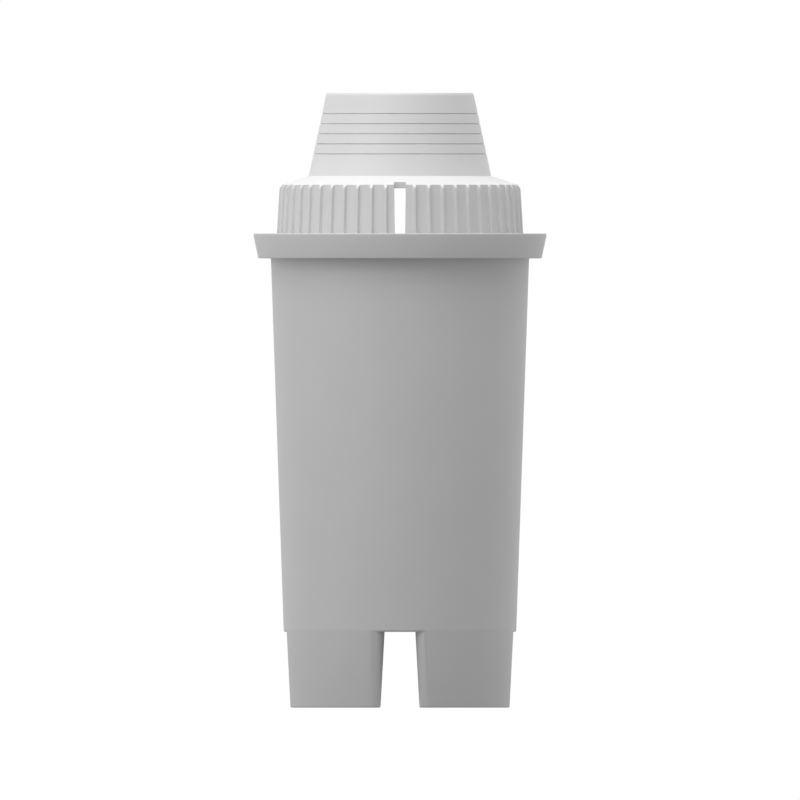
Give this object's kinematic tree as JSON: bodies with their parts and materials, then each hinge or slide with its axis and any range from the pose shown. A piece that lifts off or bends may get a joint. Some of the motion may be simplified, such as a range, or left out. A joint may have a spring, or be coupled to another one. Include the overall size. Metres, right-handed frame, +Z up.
{
  "type": "jug water filter cartridge",
  "caption": "Tapered drop-in filter cartridge for a water jug, with a flared tray rim, split feet and a ribbed twist cap with a conical grip.",
  "frame": {"origin": "on the cartridge's axis, level with the bottom of its feet", "axes": "+Z up along the cartridge's axis; two of the cap's slots and one arm of the foot channel lie on the Y axis"},
  "size_m": [0.0596, 0.0596, 0.125],
  "materials": {
    "cup_plastic": "satin moulded polypropylene, light grey",
    "cap_plastic": "satin moulded polypropylene, off-white",
    "strainer_plastic": "satin moulded polypropylene, white",
    "gauze": "woven polyester gauze",
    "fleece": "needled polyester fleece",
    "carbon": "granular activated carbon",
    "resin": "ion exchange resin beads, amber"
  },
  "bodies": {
    "housing": {"housing": "cup_plastic", "upper_felt": "fleece", "carbon_bed": "carbon", "separator_felt": "fleece", "resin_bed": "resin", "lower_felt": "fleece", "lower_mesh": "gauze", "support_grid": "strainer_plastic"},
    "strainer": {"strainer_frame": "strainer_plastic", "strainer_mesh": "gauze"},
    "cap": {"cap": "cap_plastic"}
  },
  "joints": [
    {"name": "strainer_lift", "type": "slide", "parent": "housing", "child": "strainer", "axis": [0, 0, 1], "range_m": [0, 0.006]},
    {"name": "cap_turn", "type": "hinge", "parent": "strainer", "child": "cap", "pos_m": [0, 0, 0.0845], "axis": [0, 0, 1], "range_deg": [0, 90]}
  ],
  "couplings": [
    {"joint": "strainer_lift", "follows": "cap_turn", "m_per_rad": 0.0038197}
  ]
}
